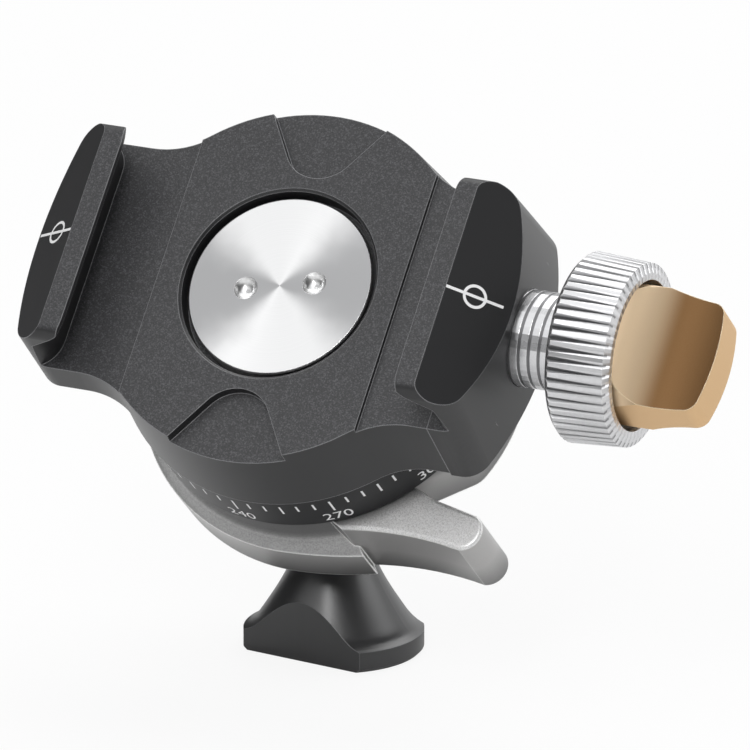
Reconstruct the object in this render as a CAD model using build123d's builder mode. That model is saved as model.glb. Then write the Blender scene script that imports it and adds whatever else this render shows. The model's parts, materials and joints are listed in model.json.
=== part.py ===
from build123d import *
from math import acos, degrees, radians, tan
import os

# Small inverted ball head with a quick-release dovetail clamp, in millimetres.
# World frame: +Z up, origin in the middle of the foot's bottom face, where the thread opens.
# Head pieces are drawn upright in the head frame: origin at the ball's centre, +Z up out of
# the clamp's platform, +X from the fixed jaw to the clamp knob. head_place tilts them on the ball.

os.makedirs("parts", exist_ok=True)

# --- Place of the head on the ball -------------------------------------------------------
ball_radius = 10.0
ball_height = 28.5  # centre of the ball above the foot's bottom face
rest_tilt = 50.0  # degrees, towards -Y
rest_spin = -2.0  # degrees, about the head's own axis
head_place = Location((0, 0, ball_height), (rest_tilt, 0, rest_spin))

# --- Clearances --------------------------------------------------------------------------
ball_fit = 0.05  # ball to its plastic seats
running_fit = 0.05  # radius, turning or sliding fits
face_gap = 0.1  # between faces that turn over each other
thread_fit = 0.05  # radius, nut thread over screw thread
cut_margin = 1.0  # how far a cutting outline reaches past the piece

# --- Foot --------------------------------------------------------------------------------
foot_radius = 8.6
foot_rim_height = 2.0
foot_rim_round = 0.3
foot_height = 10.5
foot_top_radius = 3.6
foot_knee = (6.9, 3.6)  # radius and height where the flare steepens
foot_shin = (4.75, 7.1)  # radius and height further up the flare
foot_flare_tangents = ((-1, 0.5), (-0.15, 1))  # at the rim and at the neck
foot_across_flats = 11.0
foot_flat_turn = -10.0  # degrees, the near flat's normal from -Y towards -X
foot_web_base = 6.0
foot_web = 1.0
tripod_thread_radius = 3.175  # 1/4 inch
tripod_thread_depth = 4.5
insert_radius = 4.0
screw_chamber_radius = 3.4  # above the insert, room for the stem screw's head

# --- Ball stem and its screw -------------------------------------------------------------
stem_radius = 3.2
stud_radius = 2.4
stud_end_gap = 0.15
stem_screw_radius = 1.5
stem_screw_length = 5.0
stem_screw_head_radius = 2.7
stem_screw_head_height = 1.2
stem_screw_socket_flats = 2.0
stem_screw_socket_depth = 0.7

# --- Ball seats --------------------------------------------------------------------------
cup_radius = 11.6
cup_base = 2.0
cup_top = 6.4
seat_radius = 13.0
seat_top = -0.9
seat_base = -3.3

# --- Housing -----------------------------------------------------------------------------
drum_radius = 17.0
skirt_radius = 14.0
skirt_base = -0.6
hub_radius = 8.0
hub_top = 14.5
dome_gap = 0.2  # between ball and housing above the cup
cap_stud_radius = 3.0
cap_stud_length = 2.9
cap_stud_end_gap = 0.2
washer_inner_radius = 9.0
washer_outer_radius = 16.0
washer_thickness = 0.5

# --- Degree ring and lever ring ----------------------------------------------------------
scale_radius = 18.5
scale_height = 5.0
scale_edge = 0.15
lever_top_radius = 17.8
lever_waist = (18.1, 1.0)  # radius and height where the ring's top starts to flare
lever_flare = (18.75, -0.55)
lever_flare_end = (20.7, -1.75)
lever_rim_radius = 19.5  # of the rim that sweeps round to the finger
lever_base = -5.8
lever_mouth_radius = 9.8
lever_mouth_land = 0.35
lever_mouth_flare_radius = 12.95
lever_back_radius = 17.6  # of the ring's plain side, behind the finger
lever_blend = (13.3, 13.0)  # on the outline between the rim and the plain side
lever_flat_offset = 15.4  # from the axis to the flat behind the finger
lever_flat_turn = -55.0  # degrees, the flat's normal
lever_flat_start = -0.5  # along the flat, from its middle
lever_corner = 2.5
rim_end = (8.55, -18.43)  # where the rim steps in to the finger's front wall
rim_sweep = (4.35, -19.2)
rim_step = (7.7, -17.3)
finger_root = (7.5, -17.75)
finger_front = (13.6, -17.3)
finger_front_end = (19.4, -17.85)
finger_tip = (21.1, -16.2)
finger_back_end = (20.25, -14.3)
finger_back_root = (15.0, -13.2)
finger_back_hollow = (11.7, -12.3)
finger_edge = 0.35
stop_pin_radius = 0.75
stop_pin_circle = 15.5
stop_pin_angle = 100.0  # degrees, where the pin stands
stop_pin_in_drum = 2.0
stop_pin_out = 1.7
stop_slot_depth = 1.9
lever_turn = 60.0  # degrees that the lever ring can turn

# --- Clamp body --------------------------------------------------------------------------
platform_level = 16.5
body_base = 8.0
body_base_radius = 18.6
draft = 6.0  # degrees, how far the body's and the jaws' walls lean in towards the top
platform_half_length = 12.03
channel_depth = 0.5
arm_half_width = 12.55  # at the body's base
arm_thickness = 3.3
arm_blend = 8.0  # radius between an arm and the round body
right_end = 18.65  # end face of the body, where the movable jaw meets it
recess_radius = 9.5
recess_floor = 14.2
recess_edge = 0.25
pocket_depth = 1.0
pocket_bottom = 10.9
pocket_shoulder = (3.0, 12.45)
pocket_mouth = (7.35, 19.0)

# --- Pan cap and spring washer -----------------------------------------------------------
cap_radius = 9.0
cap_thickness = 1.4
cap_edge = 0.15
dimple_offset = 3.35
dimple_angle = 13.0
dimple_radius = 1.15
dimple_depth = 0.75
spring_washer_inner_radius = 8.2

# --- Jaws --------------------------------------------------------------------------------
lip_offset = 17.0  # from the clamp's middle to each jaw's lip
lip_level = 22.44
lip_land = 0.6
strip_width = 2.05
facet_slope = 40.5  # degrees down from level
jaw_crown = 24.2  # outermost point of the bowed outer wall
bow_radius = 28.7
jaw_corner = 2.6
relief_length = 2.8  # from the jaw's ends to where its inner wall starts to turn away
foot_relief = 2.0  # how far it turns away by the end, at its foot
lip_relief = 0.6  # and at the lip
end_round = 1.4  # rounding of the jaw's top edge at both ends
undercut_offset = 19.2
jaw_base = 7.6  # the movable jaw hangs a little lower than the body, beside the degree ring
jaw_travel = 3.6  # outwards, from the place shown here
guide_pin_radius = 1.0
guide_pin_spread = 7.2
guide_pin_level = 11.0
guide_pin_inner_end = 13.0
guide_pin_outer_end = 22.8
guide_hole_end_gap = 0.15

# --- Clamp screw and wheel, on the knob axis along X -------------------------------------
knob_level = 12.6
wheel_clearance = 1.6  # between the wheel and the jaw at the end of its travel
journal_radius = 2.9
journal_end = 12.5
screw_radius = 4.5
screw_bore_radius = 1.6
groove_radius = 2.2
groove_middle = 15.2
retaining_pin_radius = 0.6
retaining_pin_top = 15.4
wheel_inner_face = jaw_crown + jaw_travel + wheel_clearance
wheel_width = 6.0
wheel_outer_face = wheel_inner_face + wheel_width
wheel_inner_radius = 8.85
wheel_outer_radius = 8.5
wheel_inner_chamfer = 0.45
wheel_face_radius = 7.6
wheel_face_rise = 0.35  # of the steep cone between the ridges and the flat outer face
wheel_recess_radius = 7.0
wheel_web = 2.8  # the wheel's middle, on the clamp screw
wheel_recess_floor = wheel_inner_face + wheel_web
ridge_count = 56
ridge_groove_depth = 0.38
ridge_groove_width = 0.62
set_screw_radius = 0.9
set_screw_length = 3.4
set_screw_inset = 1.5  # its middle, from the wheel's inner face
set_screw_middle = wheel_inner_face + set_screw_inset

# --- Pan-lock spindle and paddle, on the same axis ---------------------------------------
spindle_radius = 1.25
spindle_end = 37.5
brake_pad_length = 1.2
brake_gap = 0.1
paddle_base = wheel_recess_floor + face_gap
paddle_end = 43.25
paddle_radius = 6.5
paddle_tip_half_width = 5.3
paddle_tip_offset = 42.55
paddle_corner = 1.3
scoop_radius = 8.0
scoop_middle = 41.0
blade_half_thickness = 1.9
paddle_pin_radius = 0.5
paddle_pin_offset = 33.2
paddle_pin_half_length = 6.1

# --- Levels that follow from the sizes above ---------------------------------------------
drum_top = body_base - face_gap
drum_base = drum_top - scale_height
lever_top = drum_base - face_gap
channel_level = platform_level - channel_depth
jaw_outer_limit = jaw_crown + cut_margin
head_axis = Axis((0, 0, 0), (0, 0, 1))
knob_axis = Axis((0, 0, knob_level), (1, 0, 0))


def lean_in(level):
    """How far the clamp's leaning walls stand in at that level, from their place at its base."""
    return (level - body_base) * tan(radians(draft))


def knob_plane(offset):
    """A plane across the knob axis, facing +X, that far from the clamp's middle."""
    return Plane(origin=(offset, 0, knob_level), x_dir=(0, 1, 0), z_dir=(1, 0, 0))


def write_foot_piece(piece, name):
    """Writes a piece that stands upright in the world frame."""
    piece.part.label = name
    export_step(piece.part, "parts/" + name + ".step")


def write_head_piece(piece, name):
    """Tilts a head piece into its rest place on the ball and writes it."""
    placed = head_place * piece.part
    placed.label = name
    export_step(placed, "parts/" + name + ".step")


# === Foot ================================================================================
with BuildPart() as mounting_foot:
    with BuildSketch(Plane.XZ):
        with BuildLine():
            Polyline((0, foot_height), (0, 0), (foot_radius, 0), (foot_radius, foot_rim_height))
            flare_start = (foot_radius - foot_rim_round, foot_rim_height + foot_rim_round / 2)
            Line((foot_radius, foot_rim_height), flare_start)
            Spline(
                flare_start,
                foot_knee,
                foot_shin,
                (foot_top_radius, foot_height),
                tangents=foot_flare_tangents,
            )
            Line((foot_top_radius, foot_height), (0, foot_height))
        make_face()
    revolve(axis=Axis.Z)
    rim_edge = mounting_foot.edges().filter_by(GeomType.CIRCLE).sort_by(Axis.Z)[0]
    chamfer(rim_edge, foot_rim_round)
    with BuildSketch(Plane.XY):
        flat_reach = 2 * foot_radius
        with Locations(Rotation(0, 0, foot_flat_turn)):
            with Locations((0, foot_across_flats / 2 + flat_reach / 2)):
                Rectangle(2 * flat_reach, flat_reach)
            with Locations((0, -foot_across_flats / 2 - flat_reach / 2)):
                Rectangle(2 * flat_reach, flat_reach)
    extrude(amount=foot_height, mode=Mode.SUBTRACT)
    with BuildSketch(Plane.XY):
        Circle(insert_radius)
    extrude(amount=tripod_thread_depth, mode=Mode.SUBTRACT)
    with BuildSketch(Plane.XY):
        Circle(screw_chamber_radius)
    extrude(amount=foot_web_base, mode=Mode.SUBTRACT)
    with BuildSketch(Plane.XY):
        Circle(stem_screw_radius + running_fit)
    extrude(amount=foot_height, mode=Mode.SUBTRACT)
    with BuildSketch(Plane.XY.offset(foot_web_base + foot_web)):
        Circle(stud_radius + running_fit)
    extrude(amount=foot_height, mode=Mode.SUBTRACT)
write_foot_piece(mounting_foot, "mounting_foot")

with BuildPart() as foot_thread_insert:
    with BuildSketch(Plane.XY):
        Circle(insert_radius)
        Circle(tripod_thread_radius, mode=Mode.SUBTRACT)
    extrude(amount=tripod_thread_depth)
write_foot_piece(foot_thread_insert, "foot_thread_insert")

# === Ball stem ===========================================================================
with BuildPart() as ball_stem:
    with Locations((0, 0, ball_height)):
        Sphere(ball_radius)
    with BuildSketch(Plane.XY.offset(foot_height)):
        Circle(stem_radius)
    extrude(amount=ball_height - foot_height)
    stud_base = foot_web_base + foot_web + stud_end_gap
    with BuildSketch(Plane.XY.offset(stud_base)):
        Circle(stud_radius)
    extrude(amount=foot_height - stud_base)
    with BuildSketch(Plane.XY.offset(stud_base)):
        Circle(stem_screw_radius)
    extrude(amount=stem_screw_length, mode=Mode.SUBTRACT)
write_foot_piece(ball_stem, "ball_stem")

with BuildPart() as stem_screw:
    head_top = foot_web_base - running_fit
    with BuildSketch(Plane.XY.offset(head_top)):
        Circle(stem_screw_radius)
    extrude(amount=stem_screw_length)
    with BuildSketch(Plane.XY.offset(head_top)):
        Circle(stem_screw_head_radius)
    extrude(amount=-stem_screw_head_height)
    with BuildSketch(Plane.XY.offset(head_top - stem_screw_head_height)):
        RegularPolygon(stem_screw_socket_flats / 2, 6, major_radius=False)
    extrude(amount=stem_screw_socket_depth, mode=Mode.SUBTRACT)
write_foot_piece(stem_screw, "stem_screw")


# === Ball seats ==========================================================================
def ring_on_ball(outer_radius, base, top):
    """A turned ring whose inside is a zone of the ball's sphere."""
    with BuildPart() as ring:
        with BuildSketch(Plane.XY.offset(base)):
            Circle(outer_radius)
        extrude(amount=top - base)
        Sphere(ball_radius + ball_fit, mode=Mode.SUBTRACT)
    return ring


lower_seat_ring = ring_on_ball(seat_radius, seat_base, seat_top)
write_head_piece(lower_seat_ring, "lower_seat_ring")

upper_friction_cup = ring_on_ball(cup_radius, cup_base, cup_top)
write_head_piece(upper_friction_cup, "upper_friction_cup")

# === Housing =============================================================================
with BuildPart() as ball_housing:
    with BuildSketch(Plane.XY.offset(drum_base)):
        Circle(drum_radius)
    extrude(amount=scale_height)
    with BuildSketch(Plane.XY.offset(skirt_base)):
        Circle(skirt_radius)
    extrude(amount=drum_base - skirt_base)
    with BuildSketch(Plane.XY.offset(drum_top)):
        Circle(hub_radius)
    extrude(amount=hub_top - drum_top)
    Sphere(ball_radius + dome_gap, mode=Mode.SUBTRACT)
    with BuildSketch(Plane.XY.offset(skirt_base)):
        Circle(cup_radius)
    extrude(amount=cup_top - skirt_base, mode=Mode.SUBTRACT)
    with BuildSketch(Plane.XY.offset(drum_top)):
        Circle(washer_outer_radius)
        Circle(washer_inner_radius, mode=Mode.SUBTRACT)
    extrude(amount=-(washer_thickness - face_gap), mode=Mode.SUBTRACT)
    with BuildSketch(Plane.XY.offset(hub_top)):
        Circle(cap_stud_radius)
    extrude(amount=-(cap_stud_length + cap_stud_end_gap), mode=Mode.SUBTRACT)
    with BuildSketch(Plane.XY.offset(drum_base)):
        with PolarLocations(stop_pin_circle, 1, start_angle=stop_pin_angle):
            Circle(stop_pin_radius)
    extrude(amount=stop_pin_in_drum, mode=Mode.SUBTRACT)
write_head_piece(ball_housing, "ball_housing")

with BuildPart() as degree_ring:
    with BuildSketch(Plane.XY.offset(drum_base)):
        Circle(scale_radius)
        Circle(drum_radius, mode=Mode.SUBTRACT)
    extrude(amount=scale_height)
    rims = degree_ring.edges().filter_by(GeomType.CIRCLE).group_by(SortBy.RADIUS)[-1]
    chamfer(rims, scale_edge)
write_head_piece(degree_ring, "degree_ring")

with BuildPart() as pan_thrust_washer:
    with BuildSketch(Plane.XY.offset(body_base)):
        Circle(washer_outer_radius)
        Circle(washer_inner_radius, mode=Mode.SUBTRACT)
    extrude(amount=-washer_thickness)
write_head_piece(pan_thrust_washer, "pan_thrust_washer")

with BuildPart() as lever_stop_pin:
    with BuildSketch(Plane.XY.offset(drum_base - stop_pin_out)):
        with PolarLocations(stop_pin_circle, 1, start_angle=stop_pin_angle):
            Circle(stop_pin_radius)
    extrude(amount=stop_pin_out + stop_pin_in_drum)
write_head_piece(lever_stop_pin, "lever_stop_pin")

# === Lever ring ==========================================================================
with BuildPart() as lever_form:
    with BuildSketch(Plane.XZ):
        with BuildLine():
            Polyline((0, lever_top), (0, lever_base), (lever_flare_end[0], lever_base))
            Line((lever_flare_end[0], lever_base), lever_flare_end)
            ThreePointArc(lever_flare_end, lever_flare, lever_waist)
            Polyline(lever_waist, (lever_top_radius, lever_top), (0, lever_top))
        make_face()
    revolve(axis=head_axis)
    flat_half_angle = degrees(acos(lever_flat_offset / lever_back_radius))
    corner_angle = lever_flat_turn + flat_half_angle
    flat_corner = Vector(lever_back_radius, 0).rotate(Axis.Z, corner_angle)
    flat_start = Vector(lever_flat_offset, lever_flat_start).rotate(Axis.Z, lever_flat_turn)
    with BuildSketch(Plane.XY.offset(lever_base)) as ring_outline:
        with BuildLine():
            ThreePointArc(rim_end, rim_sweep, (0, -lever_rim_radius))
            ThreePointArc((0, -lever_rim_radius), (-lever_rim_radius, 0), (0, lever_rim_radius))
            ThreePointArc((0, lever_rim_radius), lever_blend, (lever_back_radius, 0))
            CenterArc((0, 0), lever_back_radius, 0, corner_angle)
            Line(flat_corner, flat_start)
            Polyline(flat_start, rim_step, rim_end)
        make_face()
        fillet(ring_outline.vertices().sort_by_distance(flat_corner)[0], lever_corner)
    extrude(amount=lever_top - lever_base, mode=Mode.INTERSECT)

with BuildPart() as lever_ring:
    with BuildSketch(Plane.XY.offset(lever_top)):
        with BuildLine():
            ThreePointArc(finger_root, finger_front, finger_front_end)
            ThreePointArc(finger_front_end, finger_tip, finger_back_end)
            Line(finger_back_end, finger_back_root)
            ThreePointArc(finger_back_root, finger_back_hollow, flat_start)
            Polyline(flat_start, (0, -skirt_radius), finger_root)
        make_face()
    extrude(amount=lever_base - lever_top)
    finger_rims = lever_ring.faces().filter_by(Plane.XY).edges()
    past_hollow = finger_back_hollow[0] + cut_margin
    fillet(finger_rims.filter_by(lambda e: e.center().X > past_hollow), finger_edge)
    add(lever_form.part)
    web_top = seat_base - running_fit
    with BuildSketch(Plane.XZ):
        Polygon(
            (0, lever_base),
            (lever_mouth_flare_radius, lever_base),
            (lever_mouth_radius, web_top - lever_mouth_land),
            (lever_mouth_radius, web_top),
            (skirt_radius + thread_fit, web_top),
            (skirt_radius + thread_fit, lever_top),
            (0, lever_top),
            align=None,
        )
    revolve(axis=head_axis, mode=Mode.SUBTRACT)
    with BuildSketch(Plane.XY.offset(lever_top)):
        SlotArc(
            CenterArc((0, 0), stop_pin_circle, stop_pin_angle - lever_turn, lever_turn),
            2 * (stop_pin_radius + face_gap),
        )
    extrude(amount=-stop_slot_depth, mode=Mode.SUBTRACT)
write_head_piece(lever_ring, "lever_ring")


# === Jaw form, shared by the fixed and the movable jaw ===================================
dovetail_rise = undercut_offset - lip_offset
relief_end = arm_half_width - lean_in(channel_level)
relief_start = relief_end - relief_length
with BuildPart() as relief:
    for level, offset, depth in (
        (channel_level, undercut_offset, foot_relief),
        (lip_level - lip_land - dovetail_rise, undercut_offset, foot_relief),
        (lip_level - lip_land, lip_offset, lip_relief),
        (lip_level, lip_offset, lip_relief),
    ):
        with BuildSketch(Plane.XY.offset(level)):
            with BuildLine():
                turn = TangentArc(
                    (offset, relief_start), (offset + depth, relief_end), tangent=(0, 1)
                )
                Polyline(
                    turn @ 1,
                    (offset + depth, arm_half_width),
                    (offset - cut_margin, arm_half_width),
                    (offset - cut_margin, relief_start),
                    turn @ 0,
                )
            make_face()
    loft(ruled=True)


def jaw_form(base):
    """The right-hand jaw: dovetail profile, bowed outer wall, leaning ends with round tops."""
    strip_end = lip_offset + strip_width
    facet_foot = lip_level - (jaw_outer_limit - strip_end) * tan(radians(facet_slope))
    base_half_width = arm_half_width - lean_in(base)
    top_half_width = arm_half_width - lean_in(lip_level)
    ends = [
        (-base_half_width, base),
        (base_half_width, base),
        (top_half_width, lip_level),
        (-top_half_width, lip_level),
    ]
    with BuildPart() as form:
        with BuildSketch(Plane.XY.offset(base)):
            with Locations((jaw_crown - bow_radius, 0)):
                Circle(bow_radius)
        extrude(amount=lip_level - base)
        with BuildSketch(Plane.YZ.offset(lip_offset)):
            Polygon(*ends, align=None)
        extrude(amount=jaw_crown, mode=Mode.INTERSECT)
        corners = form.edges().filter_by(lambda e: e.bounding_box().size.Z > cut_margin)
        fillet(corners.sort_by(Axis.X)[-2:], jaw_corner)
        with BuildSketch(Plane.YZ.offset(lip_offset)) as end_outline:
            Polygon(*ends, align=None)
            fillet(end_outline.vertices().group_by(Axis.Y)[-1], end_round)
        extrude(amount=jaw_crown, mode=Mode.INTERSECT)
        with BuildSketch(Plane.XZ):
            Polygon(
                (right_end, base),
                (jaw_outer_limit, base),
                (jaw_outer_limit, facet_foot),
                (strip_end, lip_level),
                (lip_offset, lip_level),
                (lip_offset, lip_level - lip_land),
                (undercut_offset, lip_level - lip_land - dovetail_rise),
                (undercut_offset, channel_level),
                (right_end, channel_level),
                align=None,
            )
        extrude(amount=base_half_width, both=True, mode=Mode.INTERSECT)
        add(relief.part, mode=Mode.SUBTRACT)
        add(mirror(relief.part, about=Plane.XZ), mode=Mode.SUBTRACT)
    return form


def body_layer(base, top, left_reach):
    """The round body with its arms along X, between two levels, with leaning walls."""
    with BuildPart() as layer:
        for level in (base, top):
            with BuildSketch(Plane.XY.offset(level)) as outline:
                Circle(body_base_radius - lean_in(level))
                with Locations(((arm_reach - left_reach) / 2, 0)):
                    Rectangle(arm_reach + left_reach, 2 * (arm_half_width - lean_in(level)))
                roots = outline.vertices().filter_by(lambda v: abs(v.X) < body_base_radius)
                fillet(roots, arm_blend + lean_in(level))
        loft(ruled=True)
    return layer


arm_reach = body_base_radius + arm_blend  # before the arms are cut to length
arm_base = channel_level - arm_thickness
right_jaw_form = jaw_form(jaw_base)
left_jaw_form = jaw_form(arm_base)
lower_layer = body_layer(body_base, arm_base, left_reach=0)
upper_layer = body_layer(arm_base, platform_level, left_reach=arm_reach)

# === Clamp body ==========================================================================
with BuildPart() as clamp_body:
    add(lower_layer.part)
    add(upper_layer.part)
    with BuildSketch(Plane.XY.offset(channel_level)):
        with Locations((platform_half_length + body_base_radius / 2, 0)):
            Rectangle(body_base_radius, 2 * body_base_radius)
        with Locations((-platform_half_length - body_base_radius / 2, 0)):
            Rectangle(body_base_radius, 2 * body_base_radius)
    extrude(amount=channel_depth, mode=Mode.SUBTRACT)
    with BuildSketch(Plane.XY.offset(body_base)):
        Rectangle(2 * right_end, 4 * body_base_radius)
    extrude(amount=platform_level - body_base, mode=Mode.INTERSECT)
    add(mirror(left_jaw_form.part, about=Plane.YZ))
    with BuildSketch(Plane.XY.offset(platform_level)):
        with BuildLine():
            ThreePointArc(
                (-pocket_shoulder[0], -pocket_shoulder[1]),
                (0, -pocket_bottom),
                (pocket_shoulder[0], -pocket_shoulder[1]),
            )
            Polyline(
                (pocket_shoulder[0], -pocket_shoulder[1]),
                (pocket_mouth[0], -pocket_mouth[1]),
                (-pocket_mouth[0], -pocket_mouth[1]),
                (-pocket_shoulder[0], -pocket_shoulder[1]),
            )
        make_face()
        mirror(about=Plane.XZ)
    extrude(amount=-pocket_depth, mode=Mode.SUBTRACT)
    with BuildSketch(Plane.XY.offset(body_base)):
        Circle(hub_radius + running_fit)
    extrude(amount=platform_level - body_base, mode=Mode.SUBTRACT)
    with BuildSketch(Plane.XZ):
        Polygon(
            (0, recess_floor),
            (recess_radius, recess_floor),
            (recess_radius, platform_level - recess_edge),
            (recess_radius + recess_edge, platform_level),
            (0, platform_level),
            align=None,
        )
    revolve(axis=head_axis, mode=Mode.SUBTRACT)
    with BuildSketch(knob_plane(0)):
        Circle(spindle_radius + running_fit)
    extrude(amount=right_end, mode=Mode.SUBTRACT)
    with BuildSketch(knob_plane(journal_end - running_fit)):
        Circle(journal_radius + running_fit)
    extrude(amount=right_end, mode=Mode.SUBTRACT)
    with BuildSketch(knob_plane(guide_pin_inner_end)):
        with Locations((0, guide_pin_level - knob_level)):
            with GridLocations(2 * guide_pin_spread, 0, 2, 1):
                Circle(guide_pin_radius)
    extrude(amount=right_end - guide_pin_inner_end, mode=Mode.SUBTRACT)
    pin_offset = groove_radius + running_fit + retaining_pin_radius
    with BuildSketch(Plane.XY.offset(body_base)):
        with Locations((groove_middle, pin_offset), (groove_middle, -pin_offset)):
            Circle(retaining_pin_radius)
    extrude(amount=retaining_pin_top - body_base, mode=Mode.SUBTRACT)
write_head_piece(clamp_body, "clamp_body")

# === Movable jaw and its guide pins ======================================================
with BuildPart() as movable_jaw:
    add(right_jaw_form.part)
    with BuildSketch(knob_plane(0)):
        Circle(screw_radius + thread_fit)
    extrude(amount=jaw_outer_limit, mode=Mode.SUBTRACT)
    with BuildSketch(knob_plane(0)):
        with Locations((0, guide_pin_level - knob_level)):
            with GridLocations(2 * guide_pin_spread, 0, 2, 1):
                Circle(guide_pin_radius + running_fit)
    extrude(amount=guide_pin_outer_end + guide_hole_end_gap, mode=Mode.SUBTRACT)
write_head_piece(movable_jaw, "movable_jaw")

with BuildPart() as jaw_guide_pins:
    with BuildSketch(knob_plane(guide_pin_inner_end)):
        with Locations((0, guide_pin_level - knob_level)):
            with GridLocations(2 * guide_pin_spread, 0, 2, 1):
                Circle(guide_pin_radius)
    extrude(amount=guide_pin_outer_end - guide_pin_inner_end)
write_head_piece(jaw_guide_pins, "jaw_guide_pins")

with BuildPart() as screw_retaining_pins:
    with BuildSketch(Plane.XY.offset(body_base)):
        with Locations((groove_middle, pin_offset), (groove_middle, -pin_offset)):
            Circle(retaining_pin_radius)
    extrude(amount=retaining_pin_top - body_base)
write_head_piece(screw_retaining_pins, "screw_retaining_pins")

# === Pan cap and spring washer ===========================================================
with BuildPart() as pan_cap:
    with BuildSketch(Plane.XY.offset(hub_top)):
        Circle(cap_radius)
    extrude(amount=cap_thickness)
    chamfer(pan_cap.edges().filter_by(GeomType.CIRCLE).sort_by(Axis.Z)[-1], cap_edge)
    with BuildSketch(Plane.XY.offset(hub_top)):
        Circle(cap_stud_radius)
    extrude(amount=-cap_stud_length)
    with Locations(Plane.XY.offset(hub_top + cap_thickness)):
        with PolarLocations(dimple_offset, 2, start_angle=dimple_angle):
            sphere_radius = (dimple_radius**2 + dimple_depth**2) / (2 * dimple_depth)
            with Locations((0, 0, sphere_radius - dimple_depth)):
                Sphere(sphere_radius, mode=Mode.SUBTRACT)
write_head_piece(pan_cap, "pan_cap")

with BuildPart() as pan_spring_washer:
    with BuildSketch(Plane.XY.offset(recess_floor)):
        Circle(cap_radius)
        Circle(spring_washer_inner_radius, mode=Mode.SUBTRACT)
    extrude(amount=hub_top - recess_floor)
write_head_piece(pan_spring_washer, "pan_spring_washer")

# === Clamp screw, wheel and set screw ====================================================
screw_shoulder = right_end + running_fit
with BuildPart() as clamp_screw:
    with BuildSketch(knob_plane(journal_end)):
        Circle(journal_radius)
    extrude(amount=screw_shoulder - journal_end)
    with BuildSketch(knob_plane(screw_shoulder)):
        Circle(screw_radius)
    extrude(amount=wheel_recess_floor - screw_shoulder)
    groove_width = 2 * (retaining_pin_radius + running_fit)
    with BuildSketch(knob_plane(groove_middle - groove_width / 2)):
        Circle(journal_radius)
        Circle(groove_radius, mode=Mode.SUBTRACT)
    extrude(amount=groove_width, mode=Mode.SUBTRACT)
    with BuildSketch(knob_plane(journal_end)):
        Circle(screw_bore_radius)
    extrude(amount=wheel_recess_floor, mode=Mode.SUBTRACT)
    with BuildSketch(Plane.XY):
        with Locations((set_screw_middle, 0)):
            Circle(set_screw_radius)
    set_screw_seat = wheel_outer_radius - set_screw_length
    extrude(amount=knob_level - set_screw_seat, mode=Mode.SUBTRACT)
write_head_piece(clamp_screw, "clamp_screw")

with BuildPart() as knurled_wheel:
    with BuildSketch(Plane.XZ):
        Polygon(
            (wheel_inner_face, knob_level),
            (wheel_inner_face, knob_level + wheel_inner_radius - wheel_inner_chamfer),
            (wheel_inner_face + wheel_inner_chamfer, knob_level + wheel_inner_radius),
            (wheel_outer_face - wheel_face_rise, knob_level + wheel_outer_radius),
            (wheel_outer_face, knob_level + wheel_face_radius),
            (wheel_outer_face, knob_level),
            align=None,
        )
    revolve(axis=knob_axis)
    with BuildSketch(knob_plane(wheel_inner_face)):
        with PolarLocations(wheel_inner_radius, ridge_count):
            Polygon(
                (-ridge_groove_depth, 0),
                (ridge_groove_depth, ridge_groove_width),
                (ridge_groove_depth, -ridge_groove_width),
                align=None,
            )
    extrude(amount=wheel_outer_face - wheel_inner_face, mode=Mode.SUBTRACT)
    with BuildSketch(knob_plane(wheel_inner_face)):
        Circle(screw_radius)
    extrude(amount=wheel_outer_face - wheel_inner_face, mode=Mode.SUBTRACT)
    with BuildSketch(knob_plane(wheel_recess_floor)):
        Circle(wheel_recess_radius)
    extrude(amount=wheel_outer_face - wheel_recess_floor, mode=Mode.SUBTRACT)
    with BuildSketch(Plane.XY):
        with Locations((set_screw_middle, 0)):
            Circle(set_screw_radius)
    extrude(amount=knob_level, mode=Mode.SUBTRACT)
write_head_piece(knurled_wheel, "knurled_wheel")

with BuildPart() as wheel_set_screw:
    with BuildSketch(Plane.XY.offset(knob_level - wheel_outer_radius + ridge_groove_depth)):
        with Locations((set_screw_middle, 0)):
            Circle(set_screw_radius)
    extrude(amount=set_screw_length - ridge_groove_depth)
write_head_piece(wheel_set_screw, "wheel_set_screw")

# === Pan-lock spindle, pad, paddle and pin ===============================================
pad_tip = hub_radius + brake_gap
with BuildPart() as brake_pad:
    with BuildSketch(knob_plane(pad_tip)):
        Circle(spindle_radius)
    extrude(amount=brake_pad_length)
write_head_piece(brake_pad, "brake_pad")

with BuildPart() as pan_lock_spindle:
    with BuildSketch(knob_plane(pad_tip + brake_pad_length)):
        Circle(spindle_radius)
    extrude(amount=spindle_end - pad_tip - brake_pad_length)
    with BuildSketch(Plane.XZ):
        with Locations((paddle_pin_offset, knob_level)):
            Circle(paddle_pin_radius)
    extrude(amount=paddle_radius, both=True, mode=Mode.SUBTRACT)
write_head_piece(pan_lock_spindle, "pan_lock_spindle")

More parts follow.
